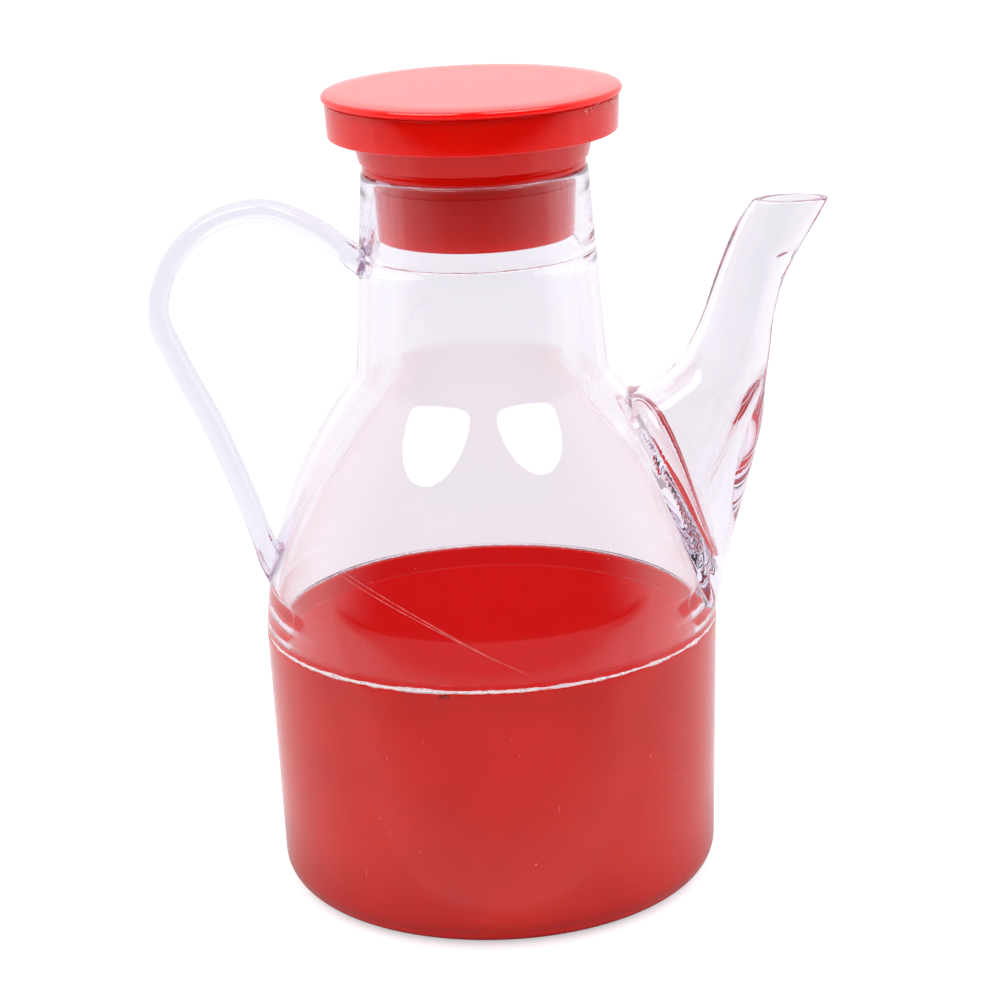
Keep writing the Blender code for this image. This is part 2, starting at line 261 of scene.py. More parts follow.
def finish_mesh(name, bm, material):
    """Turn a bmesh into a smooth-shaded piece with sharp edges where it turns sharply."""
    bmesh.ops.recalc_face_normals(bm, faces=bm.faces)
    mesh = bpy.data.meshes.new(name)
    bm.to_mesh(mesh)
    bm.free()
    obj = bpy.data.objects.new(name, mesh)
    bpy.context.collection.objects.link(obj)
    shade(obj)
    if material:
        mesh.materials.append(material)
    return obj


def shade(obj):
    """Shade smooth, but leave real corners sharp."""
    obj.data.polygons.foreach_set("use_smooth", [True] * len(obj.data.polygons))
    obj.data.set_sharp_from_angle(angle=SHARP_ANGLE)


def turned(outline, closed=True):
    """Surface of revolution about Z through an outline of (radius, height) points."""
    bm = bmesh.new()
    rings = []
    for radius, z in outline:
        if radius < 1e-7:
            rings.append([bm.verts.new((0, 0, z))])
            continue
        ring = []
        for k in range(SIDES):
            angle = math.tau * k / SIDES
            ring.append(bm.verts.new((radius * math.cos(angle), radius * math.sin(angle), z)))
        rings.append(ring)
    pairs = list(zip(rings, rings[1:]))
    if closed and len(rings[0]) > 1 and len(rings[-1]) > 1:
        pairs.append((rings[-1], rings[0]))
    for low, high in pairs:
        for k in range(SIDES):
            j = (k + 1) % SIDES
            if len(low) == 1 and len(high) == 1:
                continue
            if len(low) == 1:
                bm.faces.new((low[0], high[j], high[k]))
            elif len(high) == 1:
                bm.faces.new((low[k], low[j], high[0]))
            else:
                bm.faces.new((low[k], low[j], high[j], high[k]))
    return bm


def lofted(rings):
    """Closed solid through rings that all have the same number of points."""
    bm = bmesh.new()
    loops = [[bm.verts.new(point) for point in ring] for ring in rings]
    for low, high in zip(loops, loops[1:]):
        for i in range(len(low)):
            j = (i + 1) % len(low)
            bm.faces.new((low[i], low[j], high[j], high[i]))
    bm.faces.new(loops[0][::-1])
    bm.faces.new(loops[-1])
    return bm


def curve_at(knots, at):
    """Smooth values through knots (place, value, value, ...) at one place, as a tuple."""
    i = max(k for k in range(len(knots) - 1) if knots[k][0] <= at or k == 0)
    here, there = knots[i], knots[i + 1]
    before = knots[max(i - 1, 0)]
    after = knots[min(i + 2, len(knots) - 1)]
    span = there[0] - here[0]
    t = min(max((at - here[0]) / span, 0.0), 1.0)
    values = []
    for k in range(1, len(here)):
        slope_here = (there[k] - before[k]) / (there[0] - before[0]) * span
        slope_there = (after[k] - here[k]) / (after[0] - here[0]) * span
        values.append(
            (2 * t**3 - 3 * t**2 + 1) * here[k]
            + (t**3 - 2 * t**2 + t) * slope_here
            + (3 * t**2 - 2 * t**3) * there[k]
            + (t**3 - t**2) * slope_there
        )
    return tuple(values)


def neck_radius(z):
    """Radius of the neck's cone at a height."""
    taper = (NECK_FOOT_RADIUS - SEAM_RADIUS) / (SEAM_Z - NECK_FOOT_Z)
    return NECK_FOOT_RADIUS - taper * (z - NECK_FOOT_Z)


def bell_radius(z, inset=0.0):
    """Radius of the bell at a height, on a surface this far inside its outer one."""
    centre_z = CUP_HEIGHT - BELL_ARC_DROP
    centre_radius = CUP_RIM_RADIUS - math.sqrt(BELL_ARC_RADIUS**2 - BELL_ARC_DROP**2)
    reach = (BELL_ARC_RADIUS - inset) ** 2 - (z - centre_z) ** 2
    shoulder = centre_radius + math.sqrt(max(reach, 0.0))
    neck = neck_radius(z) - inset
    return 0.5 * (shoulder + neck + math.hypot(shoulder - neck, NECK_BLEND))


def even(low, high, count):
    """count + 1 even steps from low to high."""
    return [low + (high - low) * i / count for i in range(count + 1)]


def combine(obj, operation, *others):
    """Cut the others out of obj, or join them to it, and keep the result as its mesh."""
    for other in others:
        modifier = obj.modifiers.new(operation, "BOOLEAN")
        modifier.operation = operation
        modifier.solver = "EXACT"
        modifier.object = other
    depsgraph = bpy.context.evaluated_depsgraph_get()
    mesh = bpy.data.meshes.new_from_object(obj.evaluated_get(depsgraph))
    obj.modifiers.clear()
    old = obj.data
    obj.data = mesh
    mesh.name = obj.name
    bpy.data.meshes.remove(old)
    shade(obj)


def drop(*cutters):
    """Remove the helper solids used for cutting."""
    for cutter in cutters:
        mesh = cutter.data
        bpy.data.objects.remove(cutter)
        bpy.data.meshes.remove(mesh)


# ---------------------------------------------------------------- materials

def give(tree, socket, value):
    """Link value to the socket if it is a socket, or set it."""
    if isinstance(value, bpy.types.NodeSocket):
        tree.links.new(value, socket)
    else:
        socket.default_value = value


def add_node(tree, kind, inputs=None, **settings):
    """Add a node with these properties, its inputs set or linked."""
    made = tree.nodes.new(kind)
    for key, value in settings.items():
        setattr(made, key, value)
    for key, value in (inputs or {}).items():
        give(tree, made.inputs[key], value)
    return made


def light_path(tree):
    """Outputs of a Light Path node and three values worked out from it.

    turns: how often the light turned other than by passing through a surface
    deep: 1 where it was reflected at least twice
    inner: 1 where it was reflected and also passed through two surfaces or more
    """
    path = add_node(tree, "ShaderNodeLightPath").outputs
    turns = add_node(tree, "ShaderNodeMath", {0: path["Ray Depth"], 1: path["Transmission Depth"]},
                     operation="SUBTRACT")
    deep = add_node(tree, "ShaderNodeMath", {0: path["Glossy Depth"], 1: 1.5},
                    operation="GREATER_THAN")
    bright = add_node(tree, "ShaderNodeMath", {0: path["Glossy Depth"], 1: 0.5},
                      operation="GREATER_THAN")
    passed = add_node(tree, "ShaderNodeMath", {0: path["Transmission Depth"], 1: 1.5},
                      operation="GREATER_THAN")
    inner = add_node(tree, "ShaderNodeMath", {0: bright.outputs[0], 1: passed.outputs[0]},
                     operation="MULTIPLY")
    return path, turns.outputs[0], deep.outputs[0], inner.outputs[0]


class Shader:
    """A material's node tree, with short calls to add and link nodes."""

    def __init__(self, name):
        self.material = bpy.data.materials.new(name)
        self.material.use_nodes = True
        self.tree = self.material.node_tree
        self.surface = self.tree.nodes["Principled BSDF"]
        self.place = self.node("ShaderNodeTexCoord").outputs["Object"]

    def node(self, kind, inputs=None, **settings):
        """Add a node to this material."""
        return add_node(self.tree, kind, inputs, **settings)

    def give(self, socket, value):
        """Link or set a socket of this material."""
        give(self.tree, socket, value)

    def set(self, **values):
        """Inputs of the Principled shader, with _ for a space."""
        for key, value in values.items():
            self.give(self.surface.inputs[key.replace("_", " ")], value)

    def mapped(self, scale=(1, 1, 1), location=(0, 0, 0)):
        """Object coordinates, scaled and moved."""
        made = self.node("ShaderNodeMapping", {"Vector": self.place})
        made.inputs["Scale"].default_value = scale
        made.inputs["Location"].default_value = location
        return made.outputs["Vector"]

    def noise(self, scale, detail=2.0, roughness=0.5, vector=None):
        """Noise from 0 to 1."""
        made = self.node("ShaderNodeTexNoise", {
            "Vector": vector or self.place, "Scale": scale, "Detail": detail,
            "Roughness": roughness})
        return made.outputs["Fac"]

    def math(self, operation, a, b=0.0, clamp=False):
        """One sum on two values."""
        made = self.node("ShaderNodeMath", operation=operation, use_clamp=clamp)
        self.give(made.inputs[0], a)
        self.give(made.inputs[1], b)
        return made.outputs[0]

    def ramp(self, value, low, high, to_low=0.0, to_high=1.0):
        """Smooth step from to_low to to_high as the value goes from low to high."""
        made = self.node("ShaderNodeMapRange", {
            "Value": value, "From Min": low, "From Max": high, "To Min": to_low,
            "To Max": to_high}, clamp=True, interpolation_type="SMOOTHSTEP")
        return made.outputs["Result"]

    def mix(self, factor, a, b):
        """Colour a turning into colour b as the factor goes from 0 to 1."""
        made = self.node("ShaderNodeMix", data_type="RGBA")
        self.give(made.inputs["Factor"], factor)
        self.give(made.inputs["A"], a)
        self.give(made.inputs["B"], b)
        return made.outputs["Result"]

    def specks(self, scale, size, share, seed=0.0):
        """Small scattered dots: 1 in a dot, 0 off it."""
        cells = self.node("ShaderNodeTexVoronoi", {
            "Vector": self.mapped(location=(seed, seed, seed)), "Scale": scale,
            "Randomness": 1.0})
        dot = self.ramp(cells.outputs["Distance"], size, size * 0.4)
        pick = self.node("ShaderNodeSeparateColor", {"Color": cells.outputs["Color"]})
        chosen = self.math("LESS_THAN", pick.outputs["Red"], share)
        return self.math("MULTIPLY", dot, chosen)

    def streaks(self, rotation, length=11.0, share=0.05, seed=0.0):
        """Short straight hairlines along one direction: 1 on a line, 0 off it."""
        along = self.node("ShaderNodeMapping", {"Vector": self.place}, vector_type="TEXTURE")
        along.inputs["Scale"].default_value = (1.0, 1.0, length)
        along.inputs["Rotation"].default_value = [math.radians(a) for a in rotation]
        along.inputs["Location"].default_value = (seed, seed, seed)
        cells = self.node("ShaderNodeTexVoronoi", {
            "Vector": along.outputs["Vector"], "Scale": 620.0, "Randomness": 1.0})
        size = 0.075
        line = self.ramp(cells.outputs["Distance"], size, size * 0.3)
        pick = self.node("ShaderNodeSeparateColor", {"Color": cells.outputs["Color"]})
        return self.math("MULTIPLY", line, self.math("LESS_THAN", pick.outputs["Green"], share))

    def bump(self, height, distance, strength=1.0, normal=None):
        """Normal bent by a height, on top of another normal if one is given."""
        made = self.node("ShaderNodeBump", {
            "Height": height, "Distance": distance, "Strength": strength})
        if normal:
            self.give(made.inputs["Normal"], normal)
        return made.outputs["Normal"]


def red_plastic(name, colour, roughness, glow=0.85, inside=0.0, painted_light_colour=LID_RED_PAINTED_LIGHT):
    """Glossy injection-moulded red plastic with flow clouding, hairlines and light specks.

    Within the radius inside it takes a second, brighter red: painted light on the part seen through
    clear plastic.
    """
    s = Shader(name)
    cloud = s.noise(38.0, 3.0, 0.55)
    flow = s.noise(24.0, 2.0, 0.5, s.mapped((1, 1, 0.25)))
    deep = tuple(c * 0.93 for c in colour)
    light = (min(colour[0] * 1.05, 1.0), colour[1] * 1.25, colour[2] * 1.25)
    base = s.mix(s.ramp(cloud, 0.35, 0.65), (*deep, 1), (*light, 1))
    # Painted light: within this radius the red turns to a brighter copy, for the part seen through
    # clear plastic.
    if inside:
        flat = s.node("ShaderNodeSeparateXYZ", {"Vector": s.place})
        out = s.math("SQRT", s.math("ADD", s.math("POWER", flat.outputs["X"], 2.0),
                                    s.math("POWER", flat.outputs["Y"], 2.0)))
        base = s.mix(s.ramp(out, inside, inside + 0.3 * MM), (*painted_light_colour, 1), base)
    scuff = s.math("MAXIMUM", s.streaks((4, 3, 0), share=0.06, seed=1.3),
                   s.math("MAXIMUM", s.streaks((10, 62, 25), length=8.0, share=0.05, seed=4.1),
                          s.streaks((-35, -50, 10), length=6.0, share=0.03, seed=8.2)))
    dots = s.math("MAXIMUM", s.specks(300.0, 0.10, 0.07, 0.4), s.specks(700.0, 0.13, 0.05, 2.7))
    mark = s.math("MAXIMUM", s.math("MULTIPLY", scuff, 0.25), s.math("MULTIPLY", dots, 0.28))
    s.set(Base_Color=s.mix(mark, base, WORN_RED))
    rough = s.ramp(flow, 0.3, 0.7, roughness * 0.9, roughness * 1.15)
    s.set(Roughness=s.math("ADD", rough, s.math("MULTIPLY", scuff, 0.2)))
    wave = s.bump(s.noise(120.0, 2.0, 0.5), 0.02 * MM, 0.6)
    s.set(Normal=s.bump(mark, 0.03 * MM, 0.5, wave))
    s.set(IOR=1.5, Subsurface_Weight=glow, Subsurface_Radius=(1.0, 0.04, 0.02),
          Subsurface_Scale=8.0 * MM)
    return s.material


def clear_plastic(name, tint, edge, depth_tint, density, edge_shade_start=0.62, wave=1.0, haze=0.0):
    """Clear styrene with faint flow waves, hairline scratches, specks and a hazy, ringed collar."""
    s = Shader(name)
    hair = s.math("MAXIMUM", s.streaks((8, 55, 0), share=0.04, seed=2.2),
                  s.streaks((35, -30, 40), length=8.0, share=0.04, seed=7.9))
    dots = s.specks(260.0, 0.09, 0.06, 1.1)
    mark = s.math("MAXIMUM", s.math("MULTIPLY", hair, 0.6), dots)
    clouding = s.ramp(s.noise(30.0, 2.0), 0.3, 0.7)
    pale = tuple(min(c * 1.005, 1.0) for c in tint)
    # Painted shade: the colour darkens and takes the edge tint towards the silhouettes, standing in
    # for the dark surroundings that the edges reflect and refract.
    painted_edge_shade = s.node("ShaderNodeLayerWeight", {"Blend": 0.5}).outputs["Facing"]
    body = s.mix(clouding, (*tint, 1), (*pale, 1))
    s.set(Base_Color=s.mix(s.ramp(painted_edge_shade, edge_shade_start, 0.98), body, (*edge, 1)))
    height = s.node("ShaderNodeSeparateXYZ", {"Vector": s.place}).outputs["Z"]
    collar = s.ramp(height, SEAM_Z, SEAM_Z + 1.5 * MM)
    rings = s.noise(160.0, 3.0, 0.6, s.mapped((0.25, 0.25, 5.0)))
    patch = s.ramp(s.noise(95.0, 3.0, 0.6, s.mapped((1, 1, 0.6))), 0.46, 0.62, 0.25, 1.0)
    hazy = s.math("MULTIPLY", s.math("MULTIPLY", collar, patch),
                  s.ramp(rings, 0.3, 0.75, haze * 0.5, haze * 1.3))
    rough = s.ramp(s.noise(45.0, 3.0), 0.35, 0.7, CLEAR_ROUGHNESS * 0.4, CLEAR_ROUGHNESS * 1.3)
    s.set(Roughness=s.math("ADD", s.math("MULTIPLY", mark, 0.35), s.math("ADD", rough, hazy)))
    flow = s.noise(55.0, 2.0, 0.45, s.mapped((1, 1, 0.35)))
    wavy = s.bump(flow, 0.05 * MM * wave, 0.5)
    ringed = s.bump(s.math("MULTIPLY", collar, rings), 0.03 * MM, 0.35 if haze else 0.0, wavy)
    s.set(Normal=s.bump(mark, 0.02 * MM, 0.5, ringed))
    s.set(Transmission_Weight=1.0, IOR=1.52)
    volume = s.node("ShaderNodeVolumeAbsorption", {"Color": (*depth_tint, 1),
                                                   "Density": density})
    s.give(s.tree.nodes["Material Output"].inputs["Volume"], volume.outputs["Volume"])
    return s.material


def bond_plastic(name, cover, colour=BOND_AND_HIGHLIGHT_COLOUR):
    """Milky, lumpy plastic in broken patches: more of it shows as cover grows."""
    s = Shader(name)
    lumps = s.noise(420.0, 4.0, 0.6)
    s.set(Base_Color=s.mix(lumps, (*colour, 1), (1, 1, 1, 1)))
    s.set(Roughness=s.ramp(lumps, 0.3, 0.7, 0.12, 0.4))
    s.set(Normal=s.bump(lumps, 0.25 * MM, 0.8))
    s.set(Alpha=s.ramp(s.noise(160.0, 3.0, 0.65), 0.5 - cover, 0.62 - cover))
    s.set(Transmission_Weight=0.45, IOR=1.5)
    return s.material


def floor_paper(name):
    """Pale seamless paper with a fine tooth, lit from within, with a painted shadow under the
    pourer.
    """
    s = Shader(name)
    fibre = s.noise(900.0, 3.0, 0.6)
    s.set(Base_Color=s.mix(s.ramp(fibre, 0.3, 0.7), (0.46, 0.46, 0.465, 1), (0.50, 0.50, 0.505, 1)))
    s.set(Roughness=0.95, Specular_IOR_Level=0.1)
    # Painted shadow: the floor's glow falls off by ambient occlusion near the pourer, more in the
    # light it gives the pieces than in what the camera sees.
    open_sky = s.node("ShaderNodeAmbientOcclusion", {"Distance": 0.03}, samples=4).outputs["AO"]
    seen = s.math("MULTIPLY", s.ramp(open_sky, 0.0, 0.45, 0.45, 1.0), FLOOR_SEEN)
    felt = s.math("MULTIPLY", s.math("POWER", open_sky, 1.6), FLOOR_LIGHT)
    camera_ray = s.node("ShaderNodeLightPath").outputs["Is Camera Ray"]
    other_ray = s.math("SUBTRACT", 1.0, camera_ray)
    s.set(Emission_Color=ROOM_COLOUR,
          Emission_Strength=s.math("ADD", s.math("MULTIPLY", seen, camera_ray),
                                   s.math("MULTIPLY", felt, other_ray)))
    s.set(Normal=s.bump(fibre, 0.05 * MM, 0.3))
    return s.material


# ---------------------------------------------------------------- pieces

def base_cup(material):
    """Red cup: tapered side, round bottom corner, shallow foot recess, eased rim."""
    rim_bore = CUP_RIM_RADIUS - CUP_WALL
    foot_bore = CUP_FOOT_RADIUS - CUP_WALL
    outline = [(0, FOOT_RECESS_DEPTH), (FOOT_RECESS_RADIUS, FOOT_RECESS_DEPTH),
               (FOOT_RING_RADIUS, 0.0)]
    outline += arc((CUP_FOOT_RADIUS - CUP_CORNER, CUP_CORNER), CUP_CORNER, -90, 0, 24)
    side = even(CUP_CORNER, CUP_HEIGHT, 24)[1:-1]
    slope = (CUP_RIM_RADIUS - CUP_FOOT_RADIUS) / (CUP_HEIGHT - CUP_CORNER)
    outline += [(CUP_FOOT_RADIUS + slope * (z - CUP_CORNER), z) for z in side]
    outline += arc((CUP_RIM_RADIUS - CUP_RIM_ROUND, CUP_HEIGHT - CUP_RIM_ROUND), CUP_RIM_ROUND,
                   0, 90, 5)
    outline += [(rim_bore + CUP_RIM_EASE, CUP_HEIGHT), (rim_bore, CUP_HEIGHT - CUP_RIM_EASE)]
    outline += arc((foot_bore - CUP_INNER_CORNER, CUP_FLOOR + CUP_INNER_CORNER),
                   CUP_INNER_CORNER, 0, -90, 16)
    outline += [(GATE_FOOT_RADIUS, CUP_FLOOR), (GATE_TOP_RADIUS, CUP_FLOOR + GATE_HEIGHT),
                (0, CUP_FLOOR + GATE_HEIGHT)]
    obj = finish_mesh("base_cup_moulding", turned(outline), material)
    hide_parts("base_cup")
    return obj


def shell_bore(z):
    """Inner radius of the clear shell: spigot, bell, neck and the narrower collar."""
    wall = bell_radius(z, BELL_WALL)
    spigot = CUP_RIM_RADIUS - CUP_WALL - SPIGOT_LEAN
    wall = 0.5 * (wall + spigot - math.hypot(wall - spigot, SPIGOT_BLEND))
    share = min(max((SEAM_Z + COLLAR_CHAMFER - z) / COLLAR_SLOPE, 0.0), 1.0)
    return COLLAR_BORE + (wall - COLLAR_BORE) * share * share * (3 - 2 * share)


def clear_shell(material, spout, channel):
    """Clear bell, neck collar and spout, solvent-welded into one piece.

    The spigot and foot sit a hair inside the cup's wall and rim, where the bond wets them.
    """
    foot = CUP_HEIGHT - SHELL_FOOT_BOND
    spigot_foot = CUP_HEIGHT + GAP - SPIGOT_DEPTH
    spigot_outer = CUP_RIM_RADIUS - CUP_WALL + SPIGOT_BOND
    outline = [(spigot_outer, spigot_foot), (spigot_outer, foot),
               (CUP_RIM_RADIUS - SHELL_FOOT_ROUND, foot),
               (CUP_RIM_RADIUS - SHELL_FOOT_BEVEL, foot + SHELL_FOOT_BEVEL)]
    bell = even(foot + SHELL_FOOT_ROUND, SEAM_Z - SEAM_GROOVE_HALF, 130)
    outline += [(bell_radius(z), z) for z in bell]
    outline += [(SEAM_RADIUS - SEAM_GROOVE_DEPTH, SEAM_Z)]
    taper = SEAM_RADIUS - RIM_RADIUS
    collar = even(SEAM_Z + SEAM_GROOVE_HALF, RIM_Z - COLLAR_ROUND, 30)
    outline += [(SEAM_RADIUS - taper * (z - SEAM_Z) / (RIM_Z - SEAM_Z), z) for z in collar]
    outline += arc((RIM_RADIUS - COLLAR_ROUND, RIM_Z - COLLAR_ROUND), COLLAR_ROUND, 0, 90, 6)[1:]
    outline += arc((COLLAR_BORE + COLLAR_BORE_ROUND, RIM_Z - COLLAR_BORE_ROUND),
                   COLLAR_BORE_ROUND, 90, 180, 4)
    bore = even(spigot_foot, RIM_Z - COLLAR_CHAMFER, 190)
    outline += [(shell_bore(z), z) for z in reversed(bore)]
    obj = finish_mesh("clear_shell", turned(outline), material)
    combine(obj, "UNION", spout)
    combine(obj, "DIFFERENCE", channel)
    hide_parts("bell_body", "neck_collar", "spout")
    return obj


def bell_core(inset):
    """The bell and collar filled solid, this far inside the outer surface, to trim what joins it."""
    outline = [(0, CUP_HEIGHT - SPIGOT_DEPTH)]
    outline += [(bell_radius(z, inset), z) for z in even(CUP_HEIGHT - SPIGOT_DEPTH, SEAM_Z, 140)]
    outline += [(RIM_RADIUS - inset, RIM_Z), (0, RIM_Z)]
    return finish_mesh("bell_core", turned(outline, closed=False), None)


def off_bell(x, y, z):
    """Distance of a point outside the bell's surface, measured level."""
    return math.hypot(x, y) - bell_radius(min(max(z, CUP_HEIGHT), SEAM_Z))


def handle(material, core):
    """Rod with round corners along the handle's centre line, thicker where it is bonded on."""
    knots = []
    length = 0.0
    for i, (x, z) in enumerate(HANDLE_LINE):
        if i:
            length += math.dist(HANDLE_LINE[i - 1], (x, z))
        knots.append((length, x * MM, z * MM))
    line = []
    for i in range(HANDLE_STEPS + 1):
        x, z = curve_at(knots, length * i / HANDLE_STEPS)
        line.append(Vector((x, 0, z)))
    rings = []
    for i, centre in enumerate(line):
        along = (line[min(i + 1, HANDLE_STEPS)] - line[max(i - 1, 0)]).normalized()
        across = along.cross(Vector((0, 1, 0)))
        gap = max(off_bell(centre.x, 0, centre.z), 0.0)
        swell = 1 + HANDLE_SWELL * math.exp(-((gap / HANDLE_SWELL_REACH) ** 2))
        ring = []
        for k in range(HANDLE_SIDES):
            angle = math.tau * k / HANDLE_SIDES
            c, s = math.cos(angle), math.sin(angle)
            thick = HANDLE_HALF_THICKNESS * math.copysign(abs(c) ** HANDLE_SQUARE, c)
            wide = HANDLE_HALF_WIDTH * math.copysign(abs(s) ** HANDLE_SQUARE, s)
            ring.append(centre + across * thick * swell + Vector((0, wide * swell, 0)))
        rings.append(ring)
    obj = finish_mesh("handle_rod", lofted(rings), material)
    combine(obj, "DIFFERENCE", core)
    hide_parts("handle")
    return obj


def level_sections(sections):
    """Oval rings through a table of level sections."""
    knots = [tuple(value * MM for value in section) for section in sections]
    heights = [knots[0][0]]
    for low, high in zip(knots, knots[1:]):
        heights += even(low[0], high[0], SPOUT_RINGS)[1:]
    return [oval(*curve_at(knots, z), z) for z in heights]


def oval(back, front, half_width, z, spread=0.0):
    """One level oval ring, grown by spread."""
    centre = 0.5 * (back + front)
    half = front - centre + spread
    wide = half_width + spread
    ring = []
    for k in range(SECTION_SIDES):
        angle = math.tau * k / SECTION_SIDES
        ring.append(Vector((centre + half * math.cos(angle), wide * math.sin(angle), z)))
    return ring


def flared(rings):
    """The rings with their sides spread where they come close to the bell."""
    for ring in rings:
        for point in ring:
            gap = max(off_bell(point.x, point.y, point.z), 0.0)
            share = math.exp(-gap / FLARE_REACH)
            side = min(abs(point.y) / FLARE_SIDE, 1.0)
            point.y += math.copysign(FLARE_WIDTH * share * side, point.y)
    return rings


def spout_solid(core):
    """The tapered spout, still filled, its root spread onto the bell and its mouth rounded."""
    knots = [tuple(value * MM for value in section) for section in SPOUT_SECTIONS]
    rings = flared(level_sections(SPOUT_SECTIONS))
    top = knots[-1][0]
    while rings[-1][0].z > top - MOUTH_ROUND:
        rings.pop()
    for k in range(MOUTH_STEPS + 1):
        angle = math.radians(90 * k / MOUTH_STEPS)
        z = top - MOUTH_ROUND * (1 - math.sin(angle))
        rings.append(oval(*curve_at(knots, z), z, -MOUTH_ROUND * (1 - math.cos(angle))))
    obj = finish_mesh("spout_solid", lofted(rings), None)
    combine(obj, "DIFFERENCE", core)
    return obj


def stopper_body(material):
    """Hollow grooved plug, grooved lip, conical skirt and wide band."""
    seat = RIM_Z + GAP
    rim = RIM_Z
    band = RIM_Z + BAND_Z
    top = band + BAND_HEIGHT
    lip_groove = seat + LIP_GROOVE_Z
    groove = rim - PLUG_GROOVE_DROP
    outline = [(0, rim - PLUG_DEPTH + PLUG_DISH_DEPTH),
               (PLUG_DISH_RADIUS, rim - PLUG_DEPTH + PLUG_DISH_DEPTH),
               (PLUG_DISH_EDGE, rim - PLUG_DEPTH)]
    outline += arc((PLUG_END_RADIUS - PLUG_CORNER, rim + PLUG_CORNER - PLUG_DEPTH), PLUG_CORNER,
                   -90, 0, 8)
    outline += [(PLUG_TOP_RADIUS - PLUG_STEP, groove),
                (PLUG_TOP_RADIUS - PLUG_GROOVE_DEPTH, groove + PLUG_GROOVE_HEIGHT / 2),
                (PLUG_TOP_RADIUS, groove + PLUG_GROOVE_HEIGHT)]
    body = [
        (PLUG_TOP_RADIUS, seat), (LIP_RADIUS, seat), (LIP_RADIUS, lip_groove - LIP_GROOVE_HALF),
        (LIP_RADIUS - LIP_GROOVE_DEPTH, lip_groove), (LIP_RADIUS, lip_groove + LIP_GROOVE_HALF),
        (LIP_RADIUS, seat + LIP_HEIGHT), (SKIRT_FOOT_RADIUS, seat + LIP_HEIGHT),
        (SKIRT_TOP_RADIUS, band), (BAND_FOOT_RADIUS, band), (BAND_TOP_RADIUS, top),
        (BAND_TOP_RADIUS - STOPPER_WALL, top),
        (BAND_FOOT_RADIUS - STOPPER_WALL, band + STOPPER_WALL),
        (SKIRT_TOP_RADIUS - STOPPER_WALL, band + STOPPER_WALL),
        (PLUG_TOP_RADIUS - STOPPER_WALL, seat + STOPPER_WALL),
        (PLUG_END_RADIUS - STOPPER_WALL, rim + STOPPER_WALL - PLUG_DEPTH),
        (0, rim + STOPPER_WALL - PLUG_DEPTH),
    ]
    # Rounding of the corners above, by their place in the list
    radii = {1: 0.3 * MM, 6: 0.35 * MM, 7: 0.55 * MM, 8: 0.55 * MM, 9: 0.3 * MM, 10: 0.2 * MM,
             11: 0.5 * MM, 12: 0.5 * MM, 13: 0.5 * MM, 14: 0.5 * MM}
    outline += rounded(body, radii)
    obj = finish_mesh("stopper_plug", turned(outline), material)
    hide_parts("stopper_body")
    return obj


def cover_top(radius):
    """Height of the cover's top: a faint dish inside a crown that falls towards the edge."""
    top = RIM_Z + BAND_Z + BAND_HEIGHT + GAP + COVER_THICKNESS
    fall = max(radius - COVER_TOP_RADIUS + COVER_CROWN, 0.0) / COVER_CROWN
    return top - COVER_DISH * (1 - (radius / COVER_TOP_RADIUS) ** 2) - COVER_FALL * fall**2


def stopper_cover(material):
    """Disc that closes the stopper: rounded edge, crowned top, centring ring below."""
    foot = RIM_Z + BAND_Z + BAND_HEIGHT + GAP
    seat = foot - GAP + COVER_SEAT_GAP
    ring_outer = BAND_FOOT_RADIUS - STOPPER_WALL - GAP
    ring_inner = ring_outer - COVER_RING_WALL
    outline = [
        (0, foot), (ring_inner, foot), (ring_inner, foot - COVER_RING_DEPTH),
        (ring_outer, foot - COVER_RING_DEPTH), (ring_outer, seat),
        (BAND_TOP_RADIUS - COVER_SEAT_INSET, seat), (BAND_TOP_RADIUS + COVER_UNDERCUT, foot),
        (COVER_RADIUS - COVER_FOOT_BEVEL, foot + COVER_FOOT_BEVEL),
    ]
    outline += arc((COVER_RADIUS - COVER_ROUND, cover_top(COVER_TOP_RADIUS) - COVER_ROUND),
                   COVER_ROUND, -20, 84, 14)
    outline += [(r, cover_top(r)) for r in even(COVER_TOP_RADIUS - 1 * MM, 0, 48)[1:]]
    obj = finish_mesh("stopper_cap", turned(outline), material)
    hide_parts("stopper_cover")
    return obj


def bead(name, radius, z, thickness, material, seed, lumps=0.45, back=1.0):
    """Lumpy ring of dried bond that follows a joint round the axis, thinner by back behind."""
    bm = bmesh.new()
    rings = []
    for k in range(BEAD_SIDES):
        angle = math.tau * k / BEAD_SIDES
        spot = Vector((math.cos(angle), math.sin(angle), seed))
        facing = 0.5 - 0.5 * math.sin(angle)
        size = thickness * (back + (1 - back) * min(1.6 * facing, 1.0))
        size *= 0.75 + lumps * noise.fractal(spot * 9, 0.6, 2.1, 4)
        size = max(size, thickness * 0.25 * back)
        rise = thickness * 0.35 * noise.noise(spot * 23)
        ring = []
        for i in range(BEAD_SECTION):
            turn = math.tau * i / BEAD_SECTION
            r = radius + size * math.cos(turn)
            ring.append(bm.verts.new((r * math.cos(angle), r * math.sin(angle),
                                      z + rise + size * math.sin(turn))))
        rings.append(ring)
    for k in range(BEAD_SIDES):
        low, high = rings[k], rings[(k + 1) % BEAD_SIDES]
        for i in range(BEAD_SECTION):
            j = (i + 1) % BEAD_SECTION
            bm.faces.new((low[i], low[j], high[j], high[i]))
    return finish_mesh(name, bm, material)


def on_ring(radius, low, high, start, end, count, seed):
    """Random places on an upright band round the axis, angles in degrees from +X."""
    draw = random.Random(seed)
    places = []
    for _ in range(count):
        angle = math.radians(draw.uniform(start, end))
        r = radius + draw.uniform(-0.08, 0.04) * MM
        places.append(Vector((r * math.cos(angle), r * math.sin(angle), draw.uniform(low, high))))
    return places


